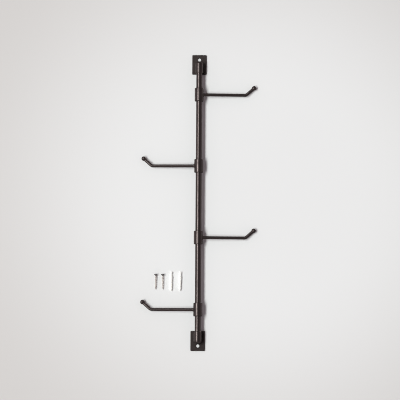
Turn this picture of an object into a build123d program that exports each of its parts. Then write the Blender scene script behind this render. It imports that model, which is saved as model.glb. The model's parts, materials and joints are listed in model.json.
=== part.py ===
from build123d import *

import os
from math import asin, atan, cos, degrees, radians, sin, sqrt, tan

# Swivel-arm hook rack for a wall: an upright rod between two screwed-on plates, with
# four collars that turn on the rod, each carrying a bent arm with a ball end.
# Millimetres. +Z is up the rod, +X is to the right as seen from the room, and +Y points
# into the wall. The origin is on the wall plane, midway between the two screw holes.

# --- wall plates -----------------------------------------------------------------
HOLE_SPACING = 580.0      # between the two wall-screw holes
HOLE_INSET = 10.0         # screw hole to the plate's outer end
HOLE_R = 3.4
COUNTERSINK_DEPTH = 0.7
PLATE_W = 29.0
PLATE_H = 40.0
PLATE_T = 2.0
PLATE_CORNER_R = 1.5
PLATE_EDGE_R = 0.4

# --- rod and its end sockets -----------------------------------------------------
ROD_R = 6.0
SOCKET_R = 8.0
SOCKET_OUTER_Z = 285.0    # closed, domed end, from the origin
SOCKET_INNER_Z = 261.0    # open end that the rod enters
SOCKET_DOME_R = 4.8
SOCKET_MOUTH_CHAMFER = 0.8
SOCKET_FOOT_W = 12.0      # flat foot welded to the plate
SOCKET_STANDOFF = 1.0     # plate to the cup's round side
SOCKET_CLEARANCE = 0.05   # radial, rod in socket
ROD_END_Z = 280.8
SOCKET_FLOOR_Z = 281.0
ROD_END_CHAMFER = 0.6
ROD_Y = -(PLATE_T + SOCKET_STANDOFF + SOCKET_R)   # rod axis, in front of the wall plane

# --- socket set screws (M4, driven from the wall side) ---------------------------
SOCKET_SCREW_Z = 272.0
SOCKET_SCREW_R = 2.0
SOCKET_SCREW_DOG_R = 1.25
SOCKET_SCREW_RECESS = 0.4   # below the plate's back face
SOCKET_SCREW_HEX = 2.0
SOCKET_SCREW_GAP = 0.05     # thread end to the rod
DIMPLE_DEPTH = 1.0          # drilled seat in the rod for the dog point
DIMPLE_GAP = 0.1            # round the dog point and under its tip

# --- both sizes of set screw -----------------------------------------------------
SET_SCREW_CHAMFER = 0.25
HEX_DEPTH_SHARE = 0.45      # of the threaded length
THREAD_CLEARANCE = 0.01     # radial, between a set screw and its plain-modelled thread

# --- swivel collars --------------------------------------------------------------
COLLAR_Z = (217.5, 72.5, -72.5, -217.5)
COLLAR_R = 9.0
COLLAR_H = 27.0
COLLAR_EDGE_R = 1.2
COLLAR_CLEARANCE = 0.06     # radial running clearance on the rod
BOSS_ROOT_R = 5.0           # swelling of the weld where the arm leaves the collar
BOSS_TIP_R = 3.5
BOSS_END = 10.4             # from the rod axis

# --- collar set screws (M3, ride in a turned groove and keep the collar's height) --
GROOVE_R = 5.3
GROOVE_W = 2.4
COLLAR_SCREW_R = 1.5
COLLAR_SCREW_DOG_R = 1.0
COLLAR_SCREW_TIP = 5.5      # from the rod axis
COLLAR_SCREW_HEX = 1.5
COLLAR_SCREW_RECESS = 0.15  # below the collar's outside
COLLAR_SCREW_GAP = 0.1      # thread end to the collar's bore

# --- arms and balls --------------------------------------------------------------
ARM_R = 3.0
ARM_ROOT = 6.7              # inner end, from the rod axis, inside the collar wall
ARM_CLEARANCE = 0.02
BEND_OUT = 95.0             # corner of the bend, from the rod axis
BEND_ANGLE = 42.0
BEND_R = 8.0
BALL_OUT = 111.5            # ball centre, from the rod axis
BALL_R = 4.5
SPIGOT_R = 1.75
SPIGOT_L = 3.0
SPIGOT_GAP = 0.2            # under the spigot's end
WALL_GAP = 0.15             # ball to wall plane, when an arm is swung right back

# --- fixing kit, lying on the wall plane beside the rod ---------------------------
SCREW_TOPS = ((-85.0, -146.3, 0.0), (-71.3, -146.3, -1.5))   # x, z, lean in degrees
SCREW_L = 32.0
SCREW_HEAD_R = 3.6
SCREW_LAND = 0.6
SCREW_CONE_L = 2.2
SCREW_R = 1.75
SCREW_POINT_L = 5.5
SCREW_POINT_R = 0.15
CROSS_W = 0.9
CROSS_L = 4.2
CROSS_DEPTH = 1.6
PLUG_TOPS = ((-54.0, -141.6, 0.0), (-35.6, -141.6, 1.2))     # x, z, lean in degrees
PLUG_L = 38.0
PLUG_BORE_R = 1.2
PLUG_BORE_L = 33.0
PLUG_NECK_R = 2.0
PLUG_LIP_R = 2.3
PLUG_LIP_L = 1.2
PLUG_NECK_L = 9.5
PLUG_RING_R = 2.9
PLUG_RING_L = 2.5
PLUG_CORE_R = 2.0
PLUG_RIB_R = 2.5
PLUG_RIBS = 5
PLUG_RIB_SHARES = (0.02, 0.75, 0.98)   # foot, start and end of a rib's crest, of its pitch
PLUG_NOSE_L = 4.0
PLUG_NOSE_R = 1.2
PLUG_SLOT_W = 0.8
PLUG_SLOT_FROM = 14.0
PLUG_SLOT_TURN = 35.0       # degrees about the plug's axis
KIT_GAP = 0.05              # to the surface that the kit lies on

SWING = degrees(asin((-ROD_Y - BALL_R - WALL_GAP) / BALL_OUT))   # arm swung back to the wall
HALF_SPACING = HOLE_SPACING / 2
TINY = 0.5                  # how far a cutting tool runs past a face


def rod_x(radius, x_from, x_to):
    """Round bar along X, centred on the X axis."""
    length = x_to - x_from
    return Pos((x_from + x_to) / 2, 0, 0) * Rot(0, 90, 0) * Cylinder(radius, length)


def rod_y(radius, y_from, y_to):
    """Round bar along Y, centred on the Y axis."""
    length = y_to - y_from
    return Pos(0, (y_from + y_to) / 2, 0) * Rot(90, 0, 0) * Cylinder(radius, length)


def hex_socket(across_flats, depth):
    """Hexagonal key socket: a prism that runs from z = -depth to just above z = 0."""
    outline = RegularPolygon(across_flats / sqrt(3), 6)
    return Pos(0, 0, -depth) * extrude(outline, depth + TINY)


def set_screw(radius, dog_radius, thread_end, tip_end, across_flats):
    """Dog-point set screw: driving end at z = 0, tip towards -Z."""
    body = Pos(0, 0, -thread_end / 2) * Cylinder(radius, thread_end)
    body = chamfer(body.edges().sort_by(Axis.Z)[-1], SET_SCREW_CHAMFER)
    dog_length = tip_end - thread_end
    dog = Pos(0, 0, -thread_end - dog_length / 2) * Cylinder(dog_radius, dog_length)
    return body + dog - hex_socket(across_flats, HEX_DEPTH_SHARE * thread_end)


# --- frame -----------------------------------------------------------------------
def wall_plate(side):
    """Flat plate with rounded corners; side is 1 for the upper one and -1 for the lower."""
    centre_z = side * (HALF_SPACING + HOLE_INSET - PLATE_H / 2)
    plate = Pos(0, -PLATE_T / 2, centre_z) * Box(PLATE_W, PLATE_T, PLATE_H)
    plate = fillet(plate.edges().filter_by(Axis.Y), PLATE_CORNER_R)
    plate = fillet(plate.faces().sort_by(Axis.Y)[0].outer_wire().edges(), PLATE_EDGE_R)
    screw_hole = rod_y(HOLE_R, -PLATE_T - TINY, TINY)
    sink = Cone(HOLE_R, HOLE_R + COUNTERSINK_DEPTH, COUNTERSINK_DEPTH)
    sink = Pos(0, -PLATE_T + COUNTERSINK_DEPTH / 2, 0) * Rot(90, 0, 0) * sink
    plate -= Pos(0, 0, side * HALF_SPACING) * (screw_hole + sink)
    tapped = rod_y(SOCKET_SCREW_R + THREAD_CLEARANCE, -PLATE_T - TINY, TINY)
    return plate - Pos(0, 0, side * SOCKET_SCREW_Z) * tapped


def rod_socket(side):
    """Closed cup for the rod's end, with a flat foot on the plate."""
    length = SOCKET_OUTER_Z - SOCKET_INNER_Z
    cup = Pos(0, ROD_Y, SOCKET_INNER_Z + length / 2) * Cylinder(SOCKET_R, length)
    cup = fillet(cup.edges().sort_by(Axis.Z)[-1], SOCKET_DOME_R)
    cup = chamfer(cup.edges().filter_by(GeomType.CIRCLE).sort_by(Axis.Z)[0], SOCKET_MOUTH_CHAMFER)
    foot_length = length - SOCKET_DOME_R
    foot_depth = SOCKET_R + SOCKET_STANDOFF
    foot = Box(SOCKET_FOOT_W, foot_depth, foot_length)
    cup += Pos(0, ROD_Y + foot_depth / 2, SOCKET_INNER_Z + foot_length / 2) * foot
    bore_length = SOCKET_FLOOR_Z - SOCKET_INNER_Z + TINY
    bore_centre = SOCKET_FLOOR_Z - bore_length / 2
    cup -= Pos(0, ROD_Y, bore_centre) * Cylinder(ROD_R + SOCKET_CLEARANCE, bore_length)
    tapped = rod_y(SOCKET_SCREW_R + THREAD_CLEARANCE, ROD_Y + ROD_R - TINY, 0)
    cup -= Pos(0, 0, SOCKET_SCREW_Z) * tapped
    return cup if side > 0 else mirror(cup, about=Plane.XY)


def upright_rod():
    """Solid round bar with a turned groove for each collar and two drilled seats."""
    rod = chamfer(Cylinder(ROD_R, 2 * ROD_END_Z).edges(), ROD_END_CHAMFER)
    ring = Cylinder(ROD_R + TINY, GROOVE_W) - Cylinder(GROOVE_R, GROOVE_W)
    for z in COLLAR_Z:
        rod -= Pos(0, 0, z) * ring
    seat = rod_y(SOCKET_SCREW_DOG_R + DIMPLE_GAP, ROD_R - DIMPLE_DEPTH, ROD_R + TINY)
    for side in (1, -1):
        rod -= Pos(0, 0, side * SOCKET_SCREW_Z) * seat
    return Pos(0, ROD_Y, 0) * rod


def socket_set_screw(side):
    """M4 dog-point screw that clamps the rod, flush inside the plate's back face."""
    thread_end = -(ROD_Y + ROD_R) - SOCKET_SCREW_RECESS - SOCKET_SCREW_GAP
    tip_end = thread_end + DIMPLE_DEPTH - DIMPLE_GAP
    screw = set_screw(SOCKET_SCREW_R, SOCKET_SCREW_DOG_R, thread_end, tip_end, SOCKET_SCREW_HEX)
    return Pos(0, -SOCKET_SCREW_RECESS, side * SOCKET_SCREW_Z) * Rot(-90, 0, 0) * screw


# --- hooks, each modelled with its arm along +X and the rod axis on Z ---------------
def swivel_collar():
    """Thick ring that turns on the rod, bored across for the arm and the set screw."""
    ring = Cylinder(COLLAR_R, COLLAR_H)
    ring = fillet(ring.edges().filter_by(GeomType.CIRCLE), COLLAR_EDGE_R)
    boss = Cone(BOSS_ROOT_R, BOSS_TIP_R, BOSS_END - ARM_ROOT)
    boss = Pos((BOSS_END + ARM_ROOT) / 2, 0, 0) * Rot(0, 90, 0) * boss
    collar = ring + boss - Cylinder(ROD_R + COLLAR_CLEARANCE, COLLAR_H + 2 * TINY)
    collar -= rod_x(ARM_R + ARM_CLEARANCE, ROD_R - TINY, BOSS_END + TINY)
    return collar - rod_x(COLLAR_SCREW_R + THREAD_CLEARANCE, -COLLAR_R - TINY, -ROD_R + TINY)


def collar_set_screw():
    """M3 dog-point screw on the side away from the arm, its tip in the rod's groove."""
    outer = COLLAR_R - COLLAR_SCREW_RECESS
    thread_end = outer - ROD_R - COLLAR_CLEARANCE - COLLAR_SCREW_GAP
    tip_end = outer - COLLAR_SCREW_TIP
    screw = set_screw(COLLAR_SCREW_R, COLLAR_SCREW_DOG_R, thread_end, tip_end, COLLAR_SCREW_HEX)
    return Pos(-outer, 0, 0) * Rot(0, -90, 0) * screw


def hook_arm():
    """Round bar: straight out, then turned up at the bend, with a spigot for the ball."""
    tangent = BEND_R * tan(radians(BEND_ANGLE) / 2)
    rise = Vector(cos(radians(BEND_ANGLE)), 0, sin(radians(BEND_ANGLE)))
    corner = Vector(BEND_OUT, 0, 0)
    ball = ball_centre()
    seat = sqrt(BALL_R**2 - ARM_R**2)
    end = ball - rise * seat
    straight = Line((ARM_ROOT, 0, 0), corner - Vector(tangent, 0, 0))
    bend = TangentArc(corner - Vector(tangent, 0, 0), corner + rise * tangent, tangent=(1, 0, 0))
    tip = Line(corner + rise * tangent, end)
    section = Plane(origin=(ARM_ROOT, 0, 0), z_dir=(1, 0, 0)) * Circle(ARM_R)
    arm = sweep(section, path=Wire([straight, bend, tip]))
    spigot = Plane(origin=tuple(end), z_dir=tuple(rise)) * Circle(SPIGOT_R)
    return arm + extrude(spigot, SPIGOT_L, dir=tuple(rise))


def ball_centre():
    """Where the ball sits on the arm's rising end."""
    return Vector(BALL_OUT, 0, (BALL_OUT - BEND_OUT) * tan(radians(BEND_ANGLE)))


def hook_ball():
    """Ball with a flat seat for the arm's shoulder and a blind hole for its spigot."""
    seat = sqrt(BALL_R**2 - ARM_R**2)
    ball = Sphere(BALL_R)
    ball -= Pos(0, 0, -seat - BALL_R) * Box(2 * BALL_R, 2 * BALL_R, 2 * BALL_R)
    depth = SPIGOT_L + SPIGOT_GAP
    hole = Cylinder(SPIGOT_R + ARM_CLEARANCE, depth + TINY)
    ball -= Pos(0, 0, -seat + (depth - TINY) / 2) * hole
    return Pos(*ball_centre()) * Rot(0, 90 - BEND_ANGLE, 0) * ball


def place_hook(piece, index):
    """Puts a hook's piece on the rod: odd hooks point left, and all are swung to the wall."""
    points_left = index % 2 == 1
    turn = 180 - SWING if points_left else SWING
    return Pos(0, ROD_Y, COLLAR_Z[index]) * Rot(0, 0, turn) * piece


# --- fixing kit, each piece modelled upright with its driving end at z = 0 ----------
def turned(points):
    """Solid of revolution about Z of a closed (radius, z) outline."""
    outline = Plane.XZ * make_face(Polyline(*points, close=True))
    return revolve(outline, Axis.Z)


def wall_screw():
    """Countersunk wood screw; the thread is its plain outer cylinder."""
    neck = -(SCREW_LAND + SCREW_CONE_L)
    screw = turned(
        [
            (0, 0),
            (SCREW_HEAD_R, 0),
            (SCREW_HEAD_R, -SCREW_LAND),
            (SCREW_R, neck),
            (SCREW_R, SCREW_POINT_L - SCREW_L),
            (SCREW_POINT_R, -SCREW_L),
            (0, -SCREW_L),
        ]
    )
    slot = Box(CROSS_L, CROSS_W, 2 * CROSS_DEPTH)
    return screw - slot - Rot(0, 0, 90) * slot


def wall_plug():
    """Expanding plug: lipped neck, stop ring, ribbed split body and tapered nose."""
    ribbed_from = PLUG_NECK_L + PLUG_RING_L
    pitch = (PLUG_L - PLUG_NOSE_L - ribbed_from) / PLUG_RIBS
    outline = [
        (PLUG_BORE_R, 0),
        (PLUG_LIP_R, 0),
        (PLUG_LIP_R, -PLUG_LIP_L),
        (PLUG_NECK_R, -PLUG_LIP_L),
        (PLUG_NECK_R, -PLUG_NECK_L),
        (PLUG_RING_R, -PLUG_NECK_L),
        (PLUG_RING_R, -ribbed_from),
    ]
    for i in range(PLUG_RIBS):
        top = -ribbed_from - i * pitch
        for radius, share in zip((PLUG_CORE_R, PLUG_RIB_R, PLUG_RIB_R), PLUG_RIB_SHARES):
            outline.append((radius, top - share * pitch))
    outline += [
        (PLUG_CORE_R, PLUG_NOSE_L - PLUG_L),
        (PLUG_NOSE_R, -PLUG_L),
        (0, -PLUG_L),
        (0, -PLUG_BORE_L),
        (PLUG_BORE_R, -PLUG_BORE_L),
    ]
    slot_length = PLUG_L - PLUG_SLOT_FROM + TINY
    slot = Box(4 * PLUG_RIB_R, PLUG_SLOT_W, slot_length)
    slot = Pos(0, 0, -PLUG_SLOT_FROM - slot_length / 2) * slot
    return turned(outline) - Rot(0, 0, PLUG_SLOT_TURN) * slot


def lay_down(piece, place, high_r, high_at, low_r, low_at):
    """Lays a kit piece on the wall plane: it rests on two rims, of high_r and low_r,
    which are high_at and low_at along it from its driving end."""
    x, z, lean = place
    tilt = atan((high_r - low_r) / (low_at - high_at))
    rest = high_r * cos(tilt) + high_at * sin(tilt)
    return Pos(x, -rest - KIT_GAP, z) * Rot(0, lean, 0) * Rot(degrees(tilt), 0, 0) * piece


parts = {
    "upper_wall_plate": wall_plate(1),
    "lower_wall_plate": wall_plate(-1),
    "upper_rod_socket": rod_socket(1),
    "lower_rod_socket": rod_socket(-1),
    "upright_rod": upright_rod(),
    "upper_socket_set_screw": socket_set_screw(1),
    "lower_socket_set_screw": socket_set_screw(-1),
}
hook_pieces = {
    "swivel_collar": swivel_collar(),
    "collar_set_screw": collar_set_screw(),
    "hook_arm": hook_arm(),
    "hook_ball": hook_ball(),
}
for index in range(len(COLLAR_Z)):
    for name, piece in hook_pieces.items():
        parts[f"{name}_{index + 1}"] = place_hook(piece, index)
screw, plug = wall_screw(), wall_plug()
for number, place in enumerate(SCREW_TOPS, start=1):
    shank_end = SCREW_L - SCREW_POINT_L
    parts[f"wall_screw_{number}"] = lay_down(
        screw, place, SCREW_HEAD_R, SCREW_LAND, SCREW_R, shank_end
    )
for number, place in enumerate(PLUG_TOPS, start=1):
    last_rib = PLUG_L - PLUG_NOSE_L
    parts[f"wall_plug_{number}"] = lay_down(
        plug, place, PLUG_RING_R, PLUG_NECK_L + PLUG_RING_L, PLUG_RIB_R, last_rib
    )

os.makedirs("parts", exist_ok=True)
for name, shape in parts.items():
    export_step(shape, f"parts/{name}.step")
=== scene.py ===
"""Looks of a swivel-arm hook rack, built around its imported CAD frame.

The rack lies on a pale surface, which is its wall plane (y = 0), and is seen from the front.
Lengths are in metres. Local hook coordinates have the arm along +X and the rod axis on Z.
"""

import json
import math

import bmesh
import bpy
from mathutils import Matrix, Vector, noise


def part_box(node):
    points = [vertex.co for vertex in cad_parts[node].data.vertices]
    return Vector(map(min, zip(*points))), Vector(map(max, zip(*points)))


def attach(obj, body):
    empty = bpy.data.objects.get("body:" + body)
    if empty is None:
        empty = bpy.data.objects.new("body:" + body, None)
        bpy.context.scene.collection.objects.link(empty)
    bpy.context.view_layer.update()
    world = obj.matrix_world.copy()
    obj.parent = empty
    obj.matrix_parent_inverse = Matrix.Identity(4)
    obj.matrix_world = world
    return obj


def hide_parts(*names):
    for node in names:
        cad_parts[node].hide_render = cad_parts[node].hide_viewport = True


MM = 0.001
TURN = 2 * math.pi

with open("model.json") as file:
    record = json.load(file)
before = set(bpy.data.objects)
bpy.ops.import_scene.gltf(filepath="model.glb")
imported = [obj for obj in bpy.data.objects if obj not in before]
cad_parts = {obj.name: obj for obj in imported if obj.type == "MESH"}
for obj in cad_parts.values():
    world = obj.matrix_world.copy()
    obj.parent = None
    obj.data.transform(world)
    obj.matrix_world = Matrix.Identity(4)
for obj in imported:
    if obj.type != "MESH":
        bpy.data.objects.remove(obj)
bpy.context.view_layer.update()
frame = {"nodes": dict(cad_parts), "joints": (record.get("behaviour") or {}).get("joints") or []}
joints = {joint["child"]: joint for joint in frame["joints"]}
HOOKS = sorted(joints)
KEPT_NODES = ("wall_plate",)   # shown as they are, like the set screws

# ------------------------------------------------------------------ driving sizes
rod_low, rod_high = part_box("upright_rod")
ROD_R = (rod_high.x - rod_low.x) / 2
ROD_Y = (rod_high.y + rod_low.y) / 2
ROD_CHAMFER = 0.6 * MM
SOCKET_DOME_R = 4.8 * MM
SOCKET_CHAMFER = 0.8 * MM
SOCKET_FLOOR = 4.0 * MM       # thickness of the closed end
SOCKET_CLEARANCE = 0.05 * MM
GROOVE_R = 5.3 * MM
GROOVE_W = 2.4 * MM
COLLAR_EDGE_R = 1.2 * MM
COLLAR_CLEARANCE = 0.06 * MM
COLLAR_SCREW_R = 1.5 * MM
COLLAR_SCREW_RIM = 0.25 * MM  # countersink round a collar's set screw
ARM_ROOT = 6.7 * MM
BEND_ANGLE = math.radians(42)
BEND_R = 8 * MM
NECK_R = 0.9 * MM
ARM_END = 0.6                 # of the ball's radius; the arm stops this far from its centre
SPIGOT_INSET = 0.3 * MM       # how far a ball's foot reaches into its arm

# how finely round shapes are divided
ROD_SEGMENTS = 96
RING_SPACING = 12 * MM        # along the rod
CUP_SEGMENTS = 144            # of the sockets and collars
DOME_STEPS = 16
FOOT_STEPS = 24
COLLAR_EDGE_STEPS = 10
DRILL_SEGMENTS = 32
ARM_SEGMENTS = 48
ARM_SPACING = 4 * MM
BEND_STEPS = 20
TIP_STEPS = 5
BALL_SEGMENTS = 56
BALL_POLE = 84                # degrees; where a ball's profile leaves its pole
BALL_STEPS = 34
NECK_STEPS = 8
SCREW_SEGMENTS = 40
THREAD_STEPS = 12             # along one pitch
PLUG_SEGMENTS = 48

# mesh tools
MERGE_WITHIN = 1e-7
CUT_OVER = 0.5 * MM           # how far a cutting mesh runs past a face
SOFTEN_SHARE = 0.45           # the most that a rounded corner takes of a side
SHARP_FROM = 35               # degrees; flatter edges are shaded smooth
SHARP_FINE = 50               # for the balls and the fixing kit
SHARP_WELD = 60

# welds round the arms, where they leave the collars
ARM_WELD_REACH = 1.6 * MM
ARM_WELD_SEGMENTS = 72
ARM_WELD_STEPS = 9
ARM_WELD_RIPPLES = 14
ARM_WELD_RIPPLE = 0.07
ARM_WELD_WANDER = 0.10
ARM_WELD_SWELL = 0.24         # how hollow the weld is, of its reach
SLANT = 0.7                   # of the hollow, both outwards and along the arm
ARM_WELD_ROOT = 0.12 * MM     # how deep the weld starts in the collar
ARM_WELD_LONGER = 0.5 * MM
ARM_WELD_LAP = 0.3 * MM       # how deep its inner face lies in the arm
ARM_WELD_LIP = 0.2 * MM
ARM_WELD_DEPTH = 1.8 * MM     # how far its inner face runs into the collar

# welds along the sockets' flat feet
FOOT_HALF = 6 * MM
WELD_LEG = 0.9 * MM
WELD_ROOT = 0.2 * MM          # how deep the weld sits in the plate and the foot
WELD_HOLLOW = 0.3
WELD_FROM_DOME = 6.5 * MM
WELD_FROM_MOUTH = 1.2 * MM
WELD_RIPPLE = 1.5 * MM
WELD_WANDER = 0.1
WELD_STEP = 0.45 * MM
WELD_AROUND = 8
WELD_TIP = 0.15               # size of a weld's ends, of its full size
WELD_GROWTH = 4.5             # how fast it grows from there
WELD_APART = 3                # keeps the two welds' unevenness different

# fixing kit
KIT_GAP = 0.05 * MM
END_SLICE = 1.0 * MM         # of a kit piece's CAD node, to find its ends

# wall screws
SCREW_L = 32 * MM
SCREW_HEAD_R = 3.6 * MM
SCREW_LAND = 0.6 * MM
SCREW_CONE_L = 2.2 * MM
SCREW_R = 1.75 * MM
SCREW_POINT_L = 5.5 * MM
SCREW_POINT_R = 0.04         # of the screw's radius
SCREW_PLAIN_L = 1.0 * MM     # between the head and the thread
SCREW_FILLET = 0.3 * MM
SCREW_SOFT_R = 0.18 * MM
SCREW_TIP_LAND = 0.01 * MM
THREAD_PITCH = 1.5 * MM
THREAD_CORE = 0.66           # of the thread's outer radius
PAINTED_ROOT_SHADE = 0.45            # how dark the painted shade in the thread's root gets; the head's painted shade is 1
THREAD_FLANK = 0.24          # half of the ridge's base, of the pitch
CROSS_W = 0.9 * MM
CROSS_L = 4.2 * MM
CROSS_DEPTH = 1.6 * MM
CROSS_TAPER = 0.55           # size of the recess's floor, of its mouth

# wall plugs
PLUG_L = 38 * MM
PLUG_BORE_R = 1.2 * MM
PLUG_BORE_L = 33 * MM
PLUG_LIP_R = 2.3 * MM
PLUG_LIP_L = 1.2 * MM
PLUG_NECK_R = 2.0 * MM
PLUG_NECK_L = 9.5 * MM
PLUG_RING_R = 2.9 * MM
PLUG_RING_L = 2.5 * MM
PLUG_CORE_R = 2.0 * MM
PLUG_RIB_R = 2.5 * MM
PLUG_RIBS = 5
PLUG_RIB_SHARES = (0.02, 0.75, 0.98)   # foot, start and end of a rib's crest, of its pitch
PLUG_NOSE_L = 4 * MM
PLUG_NOSE_R = 1.2 * MM
PLUG_SLOT_W = 0.8 * MM
PLUG_SLOT_FROM = 14 * MM
PLUG_SLOT_TURN = math.radians(35)
PLUG_SOFT_R = 0.2 * MM

# ------------------------------------------------------------------ the photographed setting
CAMERA_LENS = 200
CAMERA_REACH = 100           # farthest thing it shows
CAMERA_DISTANCE = 4.488
CAMERA_ELEVATION = math.radians(-5.6)
CAMERA_ROLL = math.radians(0.37)
VIEW_CENTRE = Vector((0.0030, 0, 0.0045))   # what the picture's middle shows, on the surface
KEY_AZIMUTH = math.radians(-31)
KEY_ELEVATION = math.radians(-3)
KEY_DISTANCE = 18.0
KEY_WIDTH = 4.2
KEY_HEIGHT = 15
KEY_POWER = 3530
KEY_COLOUR = (0.97, 1.0, 0.98)
FILL_COLOUR = (0.46, 0.39, 0.41)
FILL_FRONT = 0.18            # share of the fill that comes from around the camera
FILL_FRONT_EDGES = (-0.9, -0.45)   # Y of the directions between which it rises to the full fill
BACKGROUND = (0.83, 0.82, 0.80)
SURFACE_COLOUR = (0.79, 0.798, 0.80)
PAINTED_CORNER_SHADE = (0.77, 0.745, 0.73)   # what is left of that colour far from LIT_CENTRE: painted shade that darkens the board's corners
# painted light: the board is painted brightest round this point
LIT_CENTRE = (0.12, 0, 0.02)
LIT_REACH = (0.20, 0.68)             # distances at which the painted shade begins and is complete
SURFACE_SIZE = 8.0
SURFACE_Y = 0.3 * MM
SURFACE_MOTTLE = 0.985       # tone of its darker blotches
PIXEL_FILTER = 1.0
RACK_LIGHTS = (   # name, azimuth and elevation in degrees, distance, size, power
    ("sheen", -31, 5, 4.0, 0.8, 60),
    ("gloss", -14, 32, 4.0, 0.6, 24),
    ("side", 105, 6, 3.0, 1.6, 9),
    ("rear_left", 150, 30, 3.0, 1.2, 60),
    ("rear_right", -130, 5, 3.0, 2.5, 40),
)


# ------------------------------------------------------------------ materials
BEVEL_SAMPLES = 6
PLAIN_FROM = 0.995   # cosine between the bevelled and true normals from which there is no edge


class Nodes:
    """Short names for building a node tree."""

    def __init__(self, name):
        self.material = bpy.data.materials.new(name)
        self.material.use_nodes = True
        self.tree = self.material.node_tree
        self.shader = self.tree.nodes["Principled BSDF"]
        self.output = self.tree.nodes["Material Output"]

    def add(self, kind, **settings):
        node = self.tree.nodes.new(kind)
        for name, value in settings.items():
            setattr(node, name, value)
        return node

    def link(self, source, target):
        self.tree.links.new(source, target)

    def set(self, **values):
        """Plain values on the shader's own sockets; _ stands for a space."""
        for name, value in values.items():
            self.shader.inputs[name.replace("_", " ")].default_value = value

    def coordinates(self, stretch=(1, 1, 1)):
        source = self.add("ShaderNodeTexCoord").outputs["Object"]
        if tuple(stretch) == (1, 1, 1):
            return source
        mapping = self.add("ShaderNodeMapping")
        mapping.inputs["Scale"].default_value = stretch
        self.link(source, mapping.inputs["Vector"])
        return mapping.outputs["Vector"]

    def noise(self, size, detail=2.0, roughness=0.5, at=None):
        """Noise whose blotches are about size metres across, from 0 to 1."""
        node = self.add("ShaderNodeTexNoise")
        node.inputs["Scale"].default_value = 1 / size
        node.inputs["Detail"].default_value = detail
        node.inputs["Roughness"].default_value = roughness
        self.link(at or self.coordinates(), node.inputs["Vector"])
        return node.outputs["Fac"]

    def ramp(self, value, low, high, to_low=0.0, to_high=1.0):
        """Maps low..high to to_low..to_high, smoothly and clamped."""
        node = self.add("ShaderNodeMapRange", interpolation_type="SMOOTHSTEP")
        for socket, number in zip(node.inputs[1:5], (low, high, to_low, to_high)):
            socket.default_value = number
        self.link(value, node.inputs["Value"])
        return node.outputs["Result"]

    def maths(self, operation, a, b):
        node = self.add("ShaderNodeMath", operation=operation)
        for socket, value in zip(node.inputs, (a, b)):
            if isinstance(value, (int, float)):
                socket.default_value = value
            else:
                self.link(value, socket)
        return node.outputs["Value"]

    def mix(self, share, a, b):
        """Colour a where share is 0 and b where it is 1."""
        node = self.add("ShaderNodeMix", data_type="RGBA")
        self.link(share, node.inputs["Factor"])
        for socket, value in ((node.inputs["A"], a), (node.inputs["B"], b)):
            self.put(socket, value)
        return node.outputs["Result"]

    def put(self, socket, value):
        if isinstance(value, tuple):
            socket.default_value = (*value, 1) if len(value) == 3 else value
        else:
            self.link(value, socket)

    def bump(self, height, depth, strength=1.0, under=None):
        """Normal of a surface that rises by depth metres where height is 1."""
        node = self.add("ShaderNodeBump")
        node.inputs["Strength"].default_value = strength
        node.inputs["Distance"].default_value = depth
        self.link(height, node.inputs["Height"])
        if under is not None:
            self.link(under, node.inputs["Normal"])
        return node.outputs["Normal"]

    def edges(self, radius, sharpness):
        """1 along edges that are rounder than radius allows, and 0 on plain surfaces."""
        bevel = self.add("ShaderNodeBevel", samples=BEVEL_SAMPLES)
        bevel.inputs["Radius"].default_value = radius
        dot = self.add("ShaderNodeVectorMath", operation="DOT_PRODUCT")
        self.link(bevel.outputs["Normal"], dot.inputs[0])
        self.link(self.add("ShaderNodeNewGeometry").outputs["Normal"], dot.inputs[1])
        return self.ramp(dot.outputs["Value"], 1 - sharpness, PLAIN_FROM, 1.0, 0.0)


def powder_coat():
    """Satin bronze-black powder coat: orange peel, faint blotches, flecks and rubbed edges."""
    m = Nodes("powder_coat_satin")
    tone = m.mix(m.noise(18 * MM, 3), (0.041, 0.0335, 0.0325), (0.053, 0.043, 0.0415))
    flecks = m.ramp(m.noise(0.16 * MM, 1), 0.66, 0.78, 0.0, 0.25)
    tone = m.mix(flecks, tone, (0.090, 0.071, 0.064))
    patchy = m.ramp(m.noise(2.4 * MM, 3, 0.6), 0.42, 0.66)
    rubbed = m.maths("MULTIPLY", m.edges(0.45 * MM, 0.12), patchy)
    tone = m.mix(m.maths("MULTIPLY", rubbed, 0.75), tone, (0.145, 0.112, 0.088))
    m.link(tone, m.shader.inputs["Base Color"])
    rough = m.ramp(m.noise(7 * MM, 3), 0.3, 0.7, 0.32, 0.36)
    rough = m.maths("SUBTRACT", rough, m.maths("MULTIPLY", rubbed, 0.10))
    m.link(rough, m.shader.inputs["Roughness"])
    peel = m.bump(m.noise(1.1 * MM, 1), 0.0025 * MM)
    grain = m.bump(m.noise(0.14 * MM, 1), 0.001 * MM, 0.8, under=peel)
    m.link(grain, m.shader.inputs["Normal"])
    m.set(Metallic=0.8, Specular_Tint=(0.30, 0.27, 0.27, 1.0))
    return m.material


def black_oxide():
    """Blackened steel of the small set screws, a little oily and worn on its edges."""
    m = Nodes("black_oxide_steel")
    tone = m.mix(m.noise(1.2 * MM, 3), (0.035, 0.034, 0.036), (0.070, 0.066, 0.064))
    worn = m.maths("MULTIPLY", m.edges(0.12 * MM, 0.2), m.ramp(m.noise(0.5 * MM, 2), 0.4, 0.6))
    tone = m.mix(worn, tone, (0.30, 0.28, 0.26))
    m.link(tone, m.shader.inputs["Base Color"])
    m.link(m.ramp(m.noise(0.6 * MM, 2), 0.3, 0.7, 0.30, 0.46), m.shader.inputs["Roughness"])
    m.link(m.bump(m.noise(0.2 * MM, 2), 0.003 * MM), m.shader.inputs["Normal"])
    m.set(Metallic=1.0)
    return m.material


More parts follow.
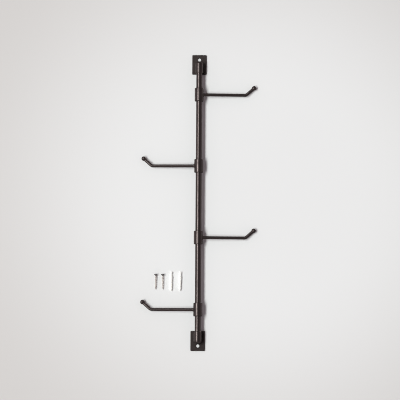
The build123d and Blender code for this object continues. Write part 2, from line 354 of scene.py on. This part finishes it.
def screw_steel():
    """Plated steel: dull grey thread, drawn lengthways, with painted shade on the head and in the
    thread's roots.
    """
    m = Nodes("plated_screw_steel")
    # painted shade from the vertices: a dark head and darker thread roots
    root = m.add("ShaderNodeAttribute", attribute_name="shade").outputs["Fac"]
    tone = m.mix(m.noise(2.0 * MM, 3), (0.50, 0.45, 0.425), (0.60, 0.555, 0.53))
    tone = m.mix(root, tone, (0.035, 0.029, 0.027))
    m.link(tone, m.shader.inputs["Base Color"])
    streaks = m.noise(0.5 * MM, 3, at=m.coordinates((1, 1, 0.12)))
    m.link(m.ramp(streaks, 0.3, 0.7, 0.30, 0.44), m.shader.inputs["Roughness"])
    m.link(m.bump(m.noise(0.18 * MM, 2), 0.003 * MM), m.shader.inputs["Normal"])
    m.set(Metallic=0.6)
    return m.material


def nylon():
    """Natural nylon: milky, slightly uneven, with a moulded satin skin."""
    m = Nodes("natural_nylon")
    tone = m.mix(m.noise(6 * MM, 2), (0.70, 0.685, 0.66), (0.76, 0.75, 0.73))
    m.link(tone, m.shader.inputs["Base Color"])
    m.link(m.ramp(m.noise(1.5 * MM, 2), 0.3, 0.7, 0.34, 0.46), m.shader.inputs["Roughness"])
    m.link(m.bump(m.noise(0.3 * MM, 2), 0.006 * MM), m.shader.inputs["Normal"])
    m.set(Subsurface_Weight=0.35, Subsurface_Scale=2.5 * MM, Subsurface_Radius=(1.0, 0.95, 0.85))
    return m.material


def surface_material():
    """Pale matt board, mottled, with painted shade darkening its corners, which can't be seen from
    behind.
    """
    m = Nodes("pale_board")
    low = tuple(SURFACE_MOTTLE * channel for channel in SURFACE_COLOUR)
    # painted shade: the board's colour at its darkened corners
    shaded = tuple(share * channel for share, channel in zip(PAINTED_CORNER_SHADE, SURFACE_COLOUR))
    away = m.add("ShaderNodeVectorMath", operation="DISTANCE")
    away.inputs[1].default_value = LIT_CENTRE
    m.link(m.coordinates(), away.inputs[0])
    board = m.mix(m.noise(0.35, 2), low, SURFACE_COLOUR)
    # the painted shade grows with distance from LIT_CENTRE
    colour = m.mix(m.ramp(away.outputs["Value"], *LIT_REACH), board, shaded)
    m.link(colour, m.shader.inputs["Base Color"])
    m.link(m.bump(m.noise(1.1 * MM, 3), 0.03 * MM, 0.35), m.shader.inputs["Normal"])
    m.set(Roughness=0.9, Specular_IOR_Level=0.2)
    mix = m.add("ShaderNodeMixShader")
    m.link(m.add("ShaderNodeNewGeometry").outputs["Backfacing"], mix.inputs["Fac"])
    m.link(m.shader.outputs["BSDF"], mix.inputs[1])
    m.link(m.add("ShaderNodeBsdfTransparent").outputs["BSDF"], mix.inputs[2])
    m.link(mix.outputs["Shader"], m.output.inputs["Surface"])
    return m.material


# ------------------------------------------------------------------ mesh tools
def arc(centre, radius, start, end, steps):
    """Points on a circle in the profile plane; angles in degrees, both ends included."""
    points = []
    for i in range(steps + 1):
        angle = math.radians(start + (end - start) * i / steps)
        points.append((centre[0] + radius * math.cos(angle), centre[1] + radius * math.sin(angle)))
    return points


def spread(start, end, spacing):
    """Points from start to end, at most spacing apart, both ends included."""
    steps = max(1, math.ceil(math.dist(start, end) / spacing))
    return [tuple(a + (b - a) * i / steps for a, b in zip(start, end)) for i in range(steps + 1)]


def soften(points, radius, steps=3):
    """The profile with each inner corner rounded; its two end points stay."""
    result = [points[0]]
    for before, corner, after in zip(points, points[1:], points[2:]):
        a = min(radius, SOFTEN_SHARE * math.dist(before, corner))
        b = min(radius, SOFTEN_SHARE * math.dist(corner, after))
        start = [c + (p - c) * a / math.dist(before, corner) for p, c in zip(before, corner)]
        end = [c + (p - c) * b / math.dist(after, corner) for p, c in zip(after, corner)]
        for i in range(steps + 1):
            t = i / steps
            result.append(
                tuple(
                    (1 - t) ** 2 * s + 2 * t * (1 - t) * c + t * t * e
                    for s, c, e in zip(start, corner, end)
                )
            )
    return result + [points[-1]]


def lathe(profile, segments, radius_at=None):
    """Vertices and faces of a closed solid of revolution about Z.

    The profile runs from one point on the axis to another. radius_at(r, z, angle) may
    change a vertex's radius, as for a thread.
    """
    verts, faces = [(0, 0, profile[0][1])], []
    for r, z in profile[1:-1]:
        for i in range(segments):
            angle = TURN * i / segments
            radius = radius_at(r, z, angle) if radius_at else r
            verts.append((radius * math.cos(angle), radius * math.sin(angle), z))
    verts.append((0, 0, profile[-1][1]))
    rings = len(profile) - 2
    for i in range(segments):
        j = (i + 1) % segments
        faces.append((0, 1 + j, 1 + i))
        for k in range(rings - 1):
            a, b = 1 + k * segments, 1 + (k + 1) * segments
            faces.append((a + i, a + j, b + j, b + i))
        last = 1 + (rings - 1) * segments
        faces.append((last + i, last + j, len(verts) - 1))
    return verts, faces


def ring_of(profile, segments):
    """Vertices and faces of a ring: a closed (r, z) profile turned about Z."""
    verts, faces, count = [], [], len(profile)
    for i in range(segments):
        angle = TURN * i / segments
        verts += [(r * math.cos(angle), r * math.sin(angle), z) for r, z in profile]
        nearer, further = i * count, (i + 1) % segments * count
        for k in range(count):
            n = (k + 1) % count
            faces.append((nearer + k, nearer + n, further + n, further + k))
    return verts, faces


def tube(centres, directions, radii, segments):
    """Vertices and faces of a closed bar along a path in the XZ plane."""
    verts, faces = [tuple(centres[0])], []
    for centre, direction, radius in zip(centres, directions, radii):
        side = Vector((-direction.z, 0, direction.x))
        for i in range(segments):
            angle = TURN * i / segments
            offset = side * math.cos(angle) + Vector((0, 1, 0)) * math.sin(angle)
            verts.append(tuple(centre + offset * radius))
    verts.append(tuple(centres[-1]))
    for i in range(segments):
        j = (i + 1) % segments
        faces.append((0, 1 + i, 1 + j))
        for k in range(len(centres) - 1):
            a, b = 1 + k * segments, 1 + (k + 1) * segments
            faces.append((a + i, b + i, b + j, a + j))
        last = 1 + (len(centres) - 1) * segments
        faces.append((last + j, last + i, len(verts) - 1))
    return verts, faces


def new_mesh(name, verts, faces, place=None, sharp_from=SHARP_FROM):
    """A clean mesh object: outward normals, smooth faces, and edges sharp past an angle."""
    mesh = bpy.data.meshes.new(name)
    mesh.from_pydata(verts, [], faces)
    tidy = bmesh.new()
    tidy.from_mesh(mesh)
    bmesh.ops.remove_doubles(tidy, verts=tidy.verts, dist=MERGE_WITHIN)
    bmesh.ops.dissolve_degenerate(tidy, edges=tidy.edges, dist=MERGE_WITHIN)
    bmesh.ops.recalc_face_normals(tidy, faces=tidy.faces)
    if place is not None:
        bmesh.ops.transform(tidy, matrix=place, verts=tidy.verts)
    tidy.to_mesh(mesh)
    tidy.free()
    mesh.shade_smooth()
    mesh.set_sharp_from_angle(angle=math.radians(sharp_from))
    piece = bpy.data.objects.new(name, mesh)
    bpy.context.scene.collection.objects.link(piece)
    return piece


def finish_piece(piece, material, body, slot, *stands_for):
    """Gives a piece its material and body, and hides the CAD nodes that it replaces."""
    piece.data.materials.clear()
    piece.data.materials.append(material)
    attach(piece, body)
    if stands_for:
        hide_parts(*stands_for)


def cut(piece, cutters):
    """Cuts closed meshes out of a piece, and bakes the result into its mesh."""
    for cutter in cutters:
        modifier = piece.modifiers.new("cut", "BOOLEAN")
        modifier.operation = "DIFFERENCE"
        modifier.solver = "EXACT"
        modifier.object = cutter
    bpy.context.view_layer.update()
    evaluated = piece.evaluated_get(bpy.context.evaluated_depsgraph_get())
    mesh = bpy.data.meshes.new_from_object(evaluated)
    piece.modifiers.clear()
    old, piece.data = piece.data, mesh
    bpy.data.meshes.remove(old)
    for cutter in cutters:
        bpy.data.meshes.remove(cutter.data)


def rectangle(half_width, half_height):
    """Corners of a rectangle round the origin, counter-clockwise."""
    right, top = half_width, half_height
    return ((-right, -top), (right, -top), (right, top), (-right, top))


def prism(name, outline, low, high, shrink=1.0, place=None):
    """A closed prism on a counter-clockwise (x, y) outline, narrower at its low end."""
    count = len(outline)
    verts = [(x * shrink, y * shrink, low) for x, y in outline] + [(x, y, high) for x, y in outline]
    faces = [tuple(reversed(range(count))), tuple(range(count, 2 * count))]
    for i in range(count):
        j = (i + 1) % count
        faces.append((i, j, count + j, count + i))
    return new_mesh(name, verts, faces, place)


# ------------------------------------------------------------------ frame pieces
def build_rod(material):
    """The upright rod, turned down where the collars' set screws run."""
    low, high = rod_low.z, rod_high.z
    profile = [(0, low), (ROD_R - ROD_CHAMFER, low), (ROD_R, low + ROD_CHAMFER)]
    heights = sorted(joint["pos_m"][2] for joint in joints.values())
    for height in heights:
        under, over = height - GROOVE_W / 2, height + GROOVE_W / 2
        profile += spread(profile[-1], (ROD_R, under), RING_SPACING)[1:]
        profile += [(GROOVE_R, under), (GROOVE_R, over), (ROD_R, over)]
    profile += spread(profile[-1], (ROD_R, high - ROD_CHAMFER), RING_SPACING)[1:]
    profile += [(ROD_R - ROD_CHAMFER, high), (0, high)]
    verts, faces = lathe(profile, ROD_SEGMENTS)
    piece = new_mesh("rod_bar", verts, faces, Matrix.Translation((0, ROD_Y, 0)))
    finish_piece(piece, material, "frame", "powder_coat", "upright_rod")


def build_socket(side, material):
    """Closed cup that holds the rod's end, and the flat foot that stands it off the plate."""
    low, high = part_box(f"{side}_rod_socket")
    plate_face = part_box(f"{side}_wall_plate")[0].y
    length, r, bore = high.z - low.z, (high.x - low.x) / 2, ROD_R + SOCKET_CLEARANCE
    dome = arc((r - SOCKET_DOME_R, length - SOCKET_DOME_R), SOCKET_DOME_R, 0, 90, DOME_STEPS)
    floor, mouth = length - SOCKET_FLOOR, SOCKET_CHAMFER / 2
    profile = [(0, floor), (bore, floor), (bore, mouth), (bore + mouth, 0)]
    profile += [(r - SOCKET_CHAMFER, 0), (r, SOCKET_CHAMFER)]
    verts, faces = lathe(profile + dome + [(0, length)], CUP_SEGMENTS)
    flip = Matrix.Identity(4) if side == "upper" else Matrix.Rotation(math.pi, 4, "Y")
    open_z = low.z if side == "upper" else high.z
    place = Matrix.Translation((0, ROD_Y, open_z)) @ flip
    piece = new_mesh(f"{side}_socket_cup", verts, faces, place)
    finish_piece(piece, material, "frame", "powder_coat", f"{side}_rod_socket")
    middle_r = (r + bore) / 2
    side_angle = math.degrees(math.asin(FOOT_HALF / middle_r))
    inside = arc((0, 0), middle_r, 90 - side_angle, 90 + side_angle, FOOT_STEPS)
    back = plate_face - ROD_Y
    outline = [(-FOOT_HALF, back), *reversed(inside), (FOOT_HALF, back)]
    foot = prism(f"{side}_socket_foot", outline, 0, length - SOCKET_DOME_R, place=place)
    finish_piece(foot, material, "frame", "powder_coat")


def build_socket_welds(side, material):
    """Two slim fillet welds that join a socket's flat foot to its wall plate."""
    low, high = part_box(f"{side}_rod_socket")
    plate_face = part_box(f"{side}_wall_plate")[0].y
    domed_z, open_z = (high.z, low.z) if side == "upper" else (low.z, high.z)
    inward = math.copysign(1, open_z - domed_z)
    start, end = domed_z + inward * WELD_FROM_DOME, open_z - inward * WELD_FROM_MOUTH
    rings = math.ceil(abs(end - start) / WELD_STEP)
    verts, faces = [], []
    for hand in (1, -1):
        first = len(verts)
        for k in range(rings + 1):
            z = start + (end - start) * k / rings
            taper = min(1.0, WELD_TIP + WELD_GROWTH * math.sin(math.pi * k / rings))
            wander = WELD_WANDER * noise.noise(Vector((hand * WELD_APART, 0, z / WELD_RIPPLE)))
            size = WELD_LEG * taper * (1 + WELD_WANDER * math.sin(TURN * z / WELD_RIPPLE) + wander)
            for i in range(WELD_AROUND + 1):
                angle = math.pi / 2 * i / WELD_AROUND
                hollow = size * (1 - WELD_HOLLOW * math.sin(2 * angle))
                out = FOOT_HALF - WELD_ROOT + hollow * math.cos(angle)
                verts.append((hand * out, plate_face + WELD_ROOT - hollow * math.sin(angle), z))
            verts.append((hand * (FOOT_HALF - 2 * WELD_ROOT), plate_face + 2 * WELD_ROOT, z))
        ring = WELD_AROUND + 2
        for k in range(rings):
            for i in range(ring):
                j = (i + 1) % ring
                a, b = first + k * ring, first + (k + 1) * ring
                faces.append((a + i, a + j, b + j, b + i))
        last = first + rings * ring
        faces += [tuple(range(first, first + ring)), tuple(reversed(range(last, last + ring)))]
    piece = new_mesh(f"{side}_socket_welds", verts, faces, sharp_from=SHARP_WELD)
    finish_piece(piece, material, "frame", "powder_coat")


# ------------------------------------------------------------------ hooks
class Hook:
    """Where a hook's parts are, read from its CAD nodes."""

    def __init__(self, body):
        self.body = body
        self.number = body.split("_")[1]
        self.axis = Vector(joints[body]["pos_m"])
        ball_low, ball_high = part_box(f"hook_ball_{self.number}")
        reach = (ball_low + ball_high) / 2 - self.axis
        self.ball_out = math.hypot(reach.x, reach.y)
        self.ball_up = reach.z
        self.ball_r = (ball_high.z - ball_low.z) / 2
        self.arm_r = self.axis.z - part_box(f"hook_arm_{self.number}")[0].z
        collar_low, collar_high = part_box(f"swivel_collar_{self.number}")
        self.collar_r = (collar_high.y - collar_low.y) / 2
        self.collar_h = collar_high.z - collar_low.z
        turn = math.atan2(reach.y, reach.x)
        self.place = Matrix.Translation(self.axis) @ Matrix.Rotation(turn, 4, "Z")
        self.rise = Vector((math.cos(BEND_ANGLE), 0, math.sin(BEND_ANGLE)))
        self.bend_out = self.ball_out - self.ball_up / math.tan(BEND_ANGLE)

    def name(self, word):
        return f"{word}_{self.number}"


def build_collar(hook, material):
    """Thick ring that turns on the rod, drilled for the set screw opposite its arm."""
    r, half = hook.collar_r, hook.collar_h / 2
    inside, edge = ROD_R + COLLAR_CLEARANCE, COLLAR_EDGE_R
    profile = arc((r - edge, half - edge), edge, 90, 0, COLLAR_EDGE_STEPS)
    profile += arc((r - edge, edge - half), edge, 0, -90, COLLAR_EDGE_STEPS)
    profile += [(inside + edge / 2, -half), (inside, edge / 2 - half)]
    profile += [(inside, half - edge / 2), (inside + edge / 2, half)]
    verts, faces = ring_of(profile, CUP_SEGMENTS)
    piece = new_mesh(hook.name("collar_ring"), verts, faces)
    depth = r - ROD_R
    drill = [(0, -CUT_OVER), (COLLAR_SCREW_R, -CUT_OVER), (COLLAR_SCREW_R, depth - COLLAR_SCREW_RIM)]
    drill += [(COLLAR_SCREW_R + CUT_OVER, depth + CUT_OVER), (0, depth + CUT_OVER)]
    hole = new_mesh("hole", *lathe(drill, DRILL_SEGMENTS), aside(-ROD_R))
    cut(piece, [hole])
    piece.data.transform(hook.place)
    piece.data.set_sharp_from_angle(angle=math.radians(SHARP_FROM))
    finish_piece(piece, material, hook.body, "powder_coat", hook.name("swivel_collar"))


def aside(x):
    """Matrix that lays a piece modelled along Z along -X, from x outwards."""
    return Matrix.Translation((x, 0, 0)) @ Matrix.Rotation(-math.pi / 2, 4, "Y")


def build_arm(hook, material):
    """Round bar: straight out from the collar, then turned up to the ball."""
    tangent = BEND_R * math.tan(BEND_ANGLE / 2)
    bend_start = Vector((hook.bend_out - tangent, 0, 0))
    centres, directions = [], []
    out = Vector((1, 0, 0))
    for x, _ in spread((ARM_ROOT, 0), (bend_start.x, 0), ARM_SPACING)[:-1]:
        centres.append(Vector((x, 0, 0)))
        directions.append(out)
    for i in range(BEND_STEPS + 1):
        angle = BEND_ANGLE * i / BEND_STEPS
        along = Vector((math.cos(angle), 0, math.sin(angle)))
        centres.append(bend_start + BEND_R * Vector((along.z, 0, 1 - along.x)))
        directions.append(along)
    tip_start = centres[-1]
    ball = Vector((hook.ball_out, 0, hook.ball_up))
    length = (ball - tip_start).length - ARM_END * hook.ball_r
    for i in range(1, TIP_STEPS + 1):
        centres.append(tip_start + hook.rise * length * i / TIP_STEPS)
        directions.append(hook.rise)
    verts, faces = tube(centres, directions, [hook.arm_r] * len(centres), ARM_SEGMENTS)
    piece = new_mesh(hook.name("arm_bar"), verts, faces, hook.place)
    finish_piece(piece, material, hook.body, "powder_coat", hook.name("hook_arm"))


def build_ball(hook, material):
    """Ball end with a small neck where it blends into the arm."""
    r, arm = hook.ball_r, hook.arm_r
    across = arm + NECK_R
    down = math.sqrt((r + NECK_R) ** 2 - across**2)
    touch = math.degrees(math.atan2(-down, across))
    profile = [(0, r)] + arc((0, 0), r, BALL_POLE, touch, BALL_STEPS)
    profile += arc((across, -down), NECK_R, 180 + touch, 180, NECK_STEPS)[1:]
    foot = -down - SPIGOT_INSET
    profile += [(arm - SPIGOT_INSET, foot), (0, foot)]
    verts, faces = lathe(profile, BALL_SEGMENTS)
    lean = Matrix.Rotation(math.pi / 2 - BEND_ANGLE, 4, "Y")
    place = hook.place @ Matrix.Translation((hook.ball_out, 0, hook.ball_up)) @ lean
    piece = new_mesh(hook.name("ball_end"), verts, faces, place, sharp_from=SHARP_FINE)
    finish_piece(piece, material, hook.body, "powder_coat", hook.name("hook_ball"))


def build_arm_weld(hook, material):
    """Rippled fillet weld round the arm where it leaves the collar."""
    verts, faces = [], []
    for i in range(ARM_WELD_SEGMENTS):
        angle = TURN * i / ARM_WELD_SEGMENTS
        across, up = math.cos(angle), math.sin(angle)
        ripple = 1 + ARM_WELD_RIPPLE * math.sin(ARM_WELD_RIPPLES * angle)
        ripple += ARM_WELD_WANDER * noise.noise(Vector((across, up, float(hook.number))))
        reach = ARM_WELD_REACH * ripple
        for k in range(ARM_WELD_STEPS + 1):
            share = k / ARM_WELD_STEPS
            hollow = SLANT * ARM_WELD_SWELL * reach * math.sin(math.pi * share)
            radius = hook.arm_r + reach * (1 - share) - hollow
            lateral = min(radius * abs(across), hook.collar_r)
            shell = math.sqrt(hook.collar_r**2 - lateral**2) - ARM_WELD_ROOT
            x = shell + (reach + ARM_WELD_LONGER) * share - hollow
            verts.append((x, radius * across, radius * up))
        inner = hook.arm_r - ARM_WELD_LAP
        for x in (hook.collar_r + ARM_WELD_LIP + reach, hook.collar_r - ARM_WELD_DEPTH):
            verts.append((x, inner * across, inner * up))
    ring = ARM_WELD_STEPS + 3
    for i in range(ARM_WELD_SEGMENTS):
        j = (i + 1) % ARM_WELD_SEGMENTS
        for k in range(ring):
            n = (k + 1) % ring
            faces.append((i * ring + k, i * ring + n, j * ring + n, j * ring + k))
    piece = new_mesh(hook.name("arm_weld"), verts, faces, hook.place, SHARP_WELD)
    finish_piece(piece, material, hook.body, "powder_coat")


# ------------------------------------------------------------------ fixing kit
def lying(node, length, high_r, high_at, low_r, low_at):
    """Matrix that lays an upright kit piece, driving end at z = 0, where its CAD node lies."""
    points = [vertex.co for vertex in frame["nodes"][node].data.vertices]
    low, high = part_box(node)
    top = [point.x for point in points if point.z > high.z - END_SLICE]
    foot = [point.x for point in points if point.z < low.z + END_SLICE]
    top_x, foot_x = (max(top) + min(top)) / 2, (max(foot) + min(foot)) / 2
    lean = math.asin((top_x - foot_x) / length)
    tilt = math.atan((high_r - low_r) / (low_at - high_at))
    rest = high_r * math.cos(tilt) + high_at * math.sin(tilt)
    end_r = (max(top) - min(top)) / 2
    place = Matrix.Translation((top_x, -rest - KIT_GAP, high.z - end_r * math.sin(tilt)))
    return place @ Matrix.Rotation(lean, 4, "Y") @ Matrix.Rotation(tilt, 4, "X")


def shade_by(piece, place, rule):
    """Stores painted shade, a 0-to-1 value per vertex, from its radius and height in the upright
    piece.
    """
    attribute = piece.data.attributes.new("shade", "FLOAT", "POINT")
    back = place.inverted()
    for vertex, item in zip(piece.data.vertices, attribute.data):
        local = back @ vertex.co
        item.value = rule(math.hypot(local.x, local.y), local.z)


def crest_radius(z):
    """Outer radius of the wall screw's threaded part at height z, down to its point."""
    cone = (z + SCREW_L) / SCREW_POINT_L
    return SCREW_R * min(1.0, max(SCREW_POINT_R, cone))


def build_wall_screw(node, material):
    """Countersunk wood screw with a rolled thread and a cross recess."""
    neck = -(SCREW_LAND + SCREW_CONE_L)
    thread_top = neck - SCREW_PLAIN_L

    def radius_at(r, z, angle):
        if z > thread_top:
            return r
        crest = crest_radius(z)
        core = crest * THREAD_CORE
        share = (z / THREAD_PITCH - angle / TURN) % 1
        ridge = max(0.0, 1 - abs(share - 0.5) / THREAD_FLANK)
        fade = min(1.0, (thread_top - z) / THREAD_PITCH)
        return core + (crest - core) * ridge * fade

    core = SCREW_R * THREAD_CORE
    head = [(0, 0), (SCREW_HEAD_R, 0), (SCREW_HEAD_R, -SCREW_LAND), (core, neck + SCREW_FILLET)]
    profile = soften(head + [(core, thread_top)], SCREW_SOFT_R)
    tip = (core, SCREW_TIP_LAND - SCREW_L)
    profile += spread(profile[-1], tip, THREAD_PITCH / THREAD_STEPS)[1:]
    profile.append((0, -SCREW_L))
    verts, faces = lathe(profile, SCREW_SEGMENTS, radius_at)
    piece = new_mesh(f"{node}_body", verts, faces, sharp_from=SHARP_FINE)
    half_long, half_wide = CROSS_L / 2, CROSS_W / 2
    outline = []
    for quarter in range(4):
        turn = Matrix.Rotation(quarter * math.pi / 2, 2)
        for corner in ((half_wide, half_wide), (half_long, half_wide), (half_long, -half_wide)):
            outline.append(tuple(turn @ Vector(corner)))
    ordered = sorted(outline, key=lambda point: math.atan2(point[1], point[0]))
    recess = prism("recess", ordered, -CROSS_DEPTH, CUT_OVER, CROSS_TAPER)
    cut(piece, [recess])
    place = lying(node, SCREW_L, SCREW_HEAD_R, SCREW_LAND, SCREW_R, SCREW_L - SCREW_POINT_L)
    piece.data.transform(place)
    piece.data.set_sharp_from_angle(angle=math.radians(SHARP_FINE))

    # painted shade: full on the head, deepest in the thread's roots
    def root(radius, z):
        if z > neck:
            return 1.0
        crest = crest_radius(z)
        depth = (crest - radius) / (crest * (1 - THREAD_CORE))
        return PAINTED_ROOT_SHADE * min(1.0, max(0.0, depth)) ** 2

    shade_by(piece, place, root)
    finish_piece(piece, material, "frame", "wall_screw_steel", node)


def build_wall_plug(node, material):
    """Split expanding plug: lipped neck, stop ring, ribs that bite, and a tapered nose."""
    ribbed = PLUG_NECK_L + PLUG_RING_L
    pitch = (PLUG_L - PLUG_NOSE_L - ribbed) / PLUG_RIBS
    outline = [
        (0, -PLUG_BORE_L),
        (PLUG_BORE_R, -PLUG_BORE_L + PLUG_BORE_R / 2),
        (PLUG_BORE_R, 0),
        (PLUG_LIP_R, 0),
        (PLUG_LIP_R, -PLUG_LIP_L),
        (PLUG_NECK_R, -PLUG_LIP_L),
        (PLUG_NECK_R, -PLUG_NECK_L),
        (PLUG_RING_R, -PLUG_NECK_L),
        (PLUG_RING_R, -ribbed),
    ]
    for i in range(PLUG_RIBS):
        top = -ribbed - i * pitch
        for radius, share in zip((PLUG_CORE_R, PLUG_RIB_R, PLUG_RIB_R), PLUG_RIB_SHARES):
            outline.append((radius, top - share * pitch))
    outline += [(PLUG_CORE_R, PLUG_NOSE_L - PLUG_L), (PLUG_NOSE_R, -PLUG_L), (0, -PLUG_L)]
    verts, faces = lathe(soften(outline, PLUG_SOFT_R), PLUG_SEGMENTS)
    piece = new_mesh(f"{node}_body", verts, faces, sharp_from=SHARP_FINE)
    corners = rectangle(2 * PLUG_RIB_R, PLUG_SLOT_W / 2)
    turn = Matrix.Rotation(PLUG_SLOT_TURN, 4, "Z")
    split = prism("split", corners, -PLUG_L - CUT_OVER, -PLUG_SLOT_FROM, place=turn)
    cut(piece, [split])
    place = lying(node, PLUG_L, PLUG_RING_R, ribbed, PLUG_RIB_R, PLUG_L - PLUG_NOSE_L)
    piece.data.transform(place)
    piece.data.set_sharp_from_angle(angle=math.radians(SHARP_FINE))
    finish_piece(piece, material, "frame", "plug_nylon", node)


# ------------------------------------------------------------------ setting
def look_at(thing, position, target, roll=0.0):
    """Puts a camera or light at position, turned to target."""
    direction = (target - position).normalized()
    turn = direction.to_track_quat("-Z", "Y").to_matrix().to_4x4()
    thing.matrix_world = Matrix.Translation(position) @ turn @ Matrix.Rotation(roll, 4, "Z")


def towards(azimuth, elevation):
    """Unit vector from the object to a viewer; azimuth 0 is the room side, -Y."""
    flat = math.cos(elevation)
    return Vector((math.sin(azimuth) * flat, -math.cos(azimuth) * flat, math.sin(elevation)))


def add_to_scene(name, data):
    thing = bpy.data.objects.new(name, data)
    bpy.context.scene.collection.objects.link(thing)
    return thing


def build_surface():
    """The pale board, just behind the wall plane."""
    half = SURFACE_SIZE / 2
    verts = [(x, SURFACE_Y, z) for x, z in rectangle(half, half)]
    mesh = bpy.data.meshes.new("surface")
    mesh.from_pydata(verts, [], [(0, 1, 2, 3)])
    mesh.materials.append(surface_material())
    add_to_scene("surface", mesh)


def build_camera():
    """The photo's viewpoint: straight in front and a little below."""
    data = bpy.data.cameras.new("camera")
    data.lens = CAMERA_LENS
    data.clip_end = CAMERA_REACH
    data.dof.use_dof = False
    camera = add_to_scene("camera", data)
    position = VIEW_CENTRE + towards(0, CAMERA_ELEVATION) * CAMERA_DISTANCE
    look_at(camera, position, VIEW_CENTRE, CAMERA_ROLL)
    bpy.context.scene.camera = camera


def area_light(name, direction, distance, width, height, power, colour):
    data = bpy.data.lights.new(name, "AREA")
    data.shape = "RECTANGLE"
    data.size, data.size_y = width, height
    data.energy = power
    data.color = colour
    light = add_to_scene(name, data)
    look_at(light, direction * distance, Vector((0, 0, 0)))
    return light


def build_world():
    """A dim fill that is weaker from the camera's side, and a plain background."""
    world = bpy.data.worlds.new("studio")
    bpy.context.scene.world = world
    world.use_nodes = True
    tree = world.node_tree
    fill = tree.nodes["Background"]
    fill.inputs["Color"].default_value = (*FILL_COLOUR, 1)
    towards_room = tree.nodes.new("ShaderNodeSeparateXYZ")
    coordinates = tree.nodes.new("ShaderNodeTexCoord")
    tree.links.new(coordinates.outputs["Generated"], towards_room.inputs["Vector"])
    darker = tree.nodes.new("ShaderNodeMapRange")
    darker.interpolation_type = "SMOOTHSTEP"
    for socket, value in zip(darker.inputs[1:5], (*FILL_FRONT_EDGES, FILL_FRONT, 1)):
        socket.default_value = value
    tree.links.new(towards_room.outputs["Y"], darker.inputs["Value"])
    tree.links.new(darker.outputs["Result"], fill.inputs["Strength"])
    backdrop = tree.nodes.new("ShaderNodeBackground")
    backdrop.inputs["Color"].default_value = (*BACKGROUND, 1)
    seen = tree.nodes.new("ShaderNodeLightPath")
    mix = tree.nodes.new("ShaderNodeMixShader")
    tree.links.new(seen.outputs["Is Camera Ray"], mix.inputs["Fac"])
    tree.links.new(fill.outputs["Background"], mix.inputs[1])
    tree.links.new(backdrop.outputs["Background"], mix.inputs[2])
    tree.links.new(mix.outputs["Shader"], tree.nodes["World Output"].inputs["Surface"])


def build_rack_lights(pieces):
    """Small sheen, gloss, side and rear lights, which reach the object only."""
    group = bpy.data.collections.new("rack_only")
    for piece in pieces:
        group.objects.link(piece)
    for name, azimuth, elevation, distance, size, power in RACK_LIGHTS:
        direction = towards(math.radians(azimuth), math.radians(elevation))
        light = area_light(name, direction, distance, size, size, power, KEY_COLOUR)
        light.light_linking.receiver_collection = group
        light.light_linking.blocker_collection = group


# ------------------------------------------------------------------ build
def main():
    coat, oxide, steel, plastic = powder_coat(), black_oxide(), screw_steel(), nylon()
    for name, node in frame["nodes"].items():
        if name.endswith(KEPT_NODES) or "set_screw" in name:
            for material_slot in node.material_slots:
                material_slot.material = oxide if "set_screw" in name else coat
    build_rod(coat)
    for side in ("upper", "lower"):
        build_socket(side, coat)
        build_socket_welds(side, coat)
    for body in HOOKS:
        hook = Hook(body)
        build_collar(hook, coat)
        build_arm(hook, coat)
        build_ball(hook, coat)
        build_arm_weld(hook, coat)
    for number in (1, 2):
        build_wall_screw(f"wall_screw_{number}", steel)
        build_wall_plug(f"wall_plug_{number}", plastic)
    pieces = [thing for thing in bpy.data.objects if thing.type == "MESH"]
    build_surface()
    build_camera()
    build_world()
    key = towards(KEY_AZIMUTH, KEY_ELEVATION)
    area_light("key", key, KEY_DISTANCE, KEY_WIDTH, KEY_HEIGHT, KEY_POWER, KEY_COLOUR)
    build_rack_lights(pieces)
    bpy.context.scene.view_settings.view_transform = "Standard"
    bpy.context.scene.cycles.filter_width = PIXEL_FILTER


main()
bpy.context.view_layer.update()
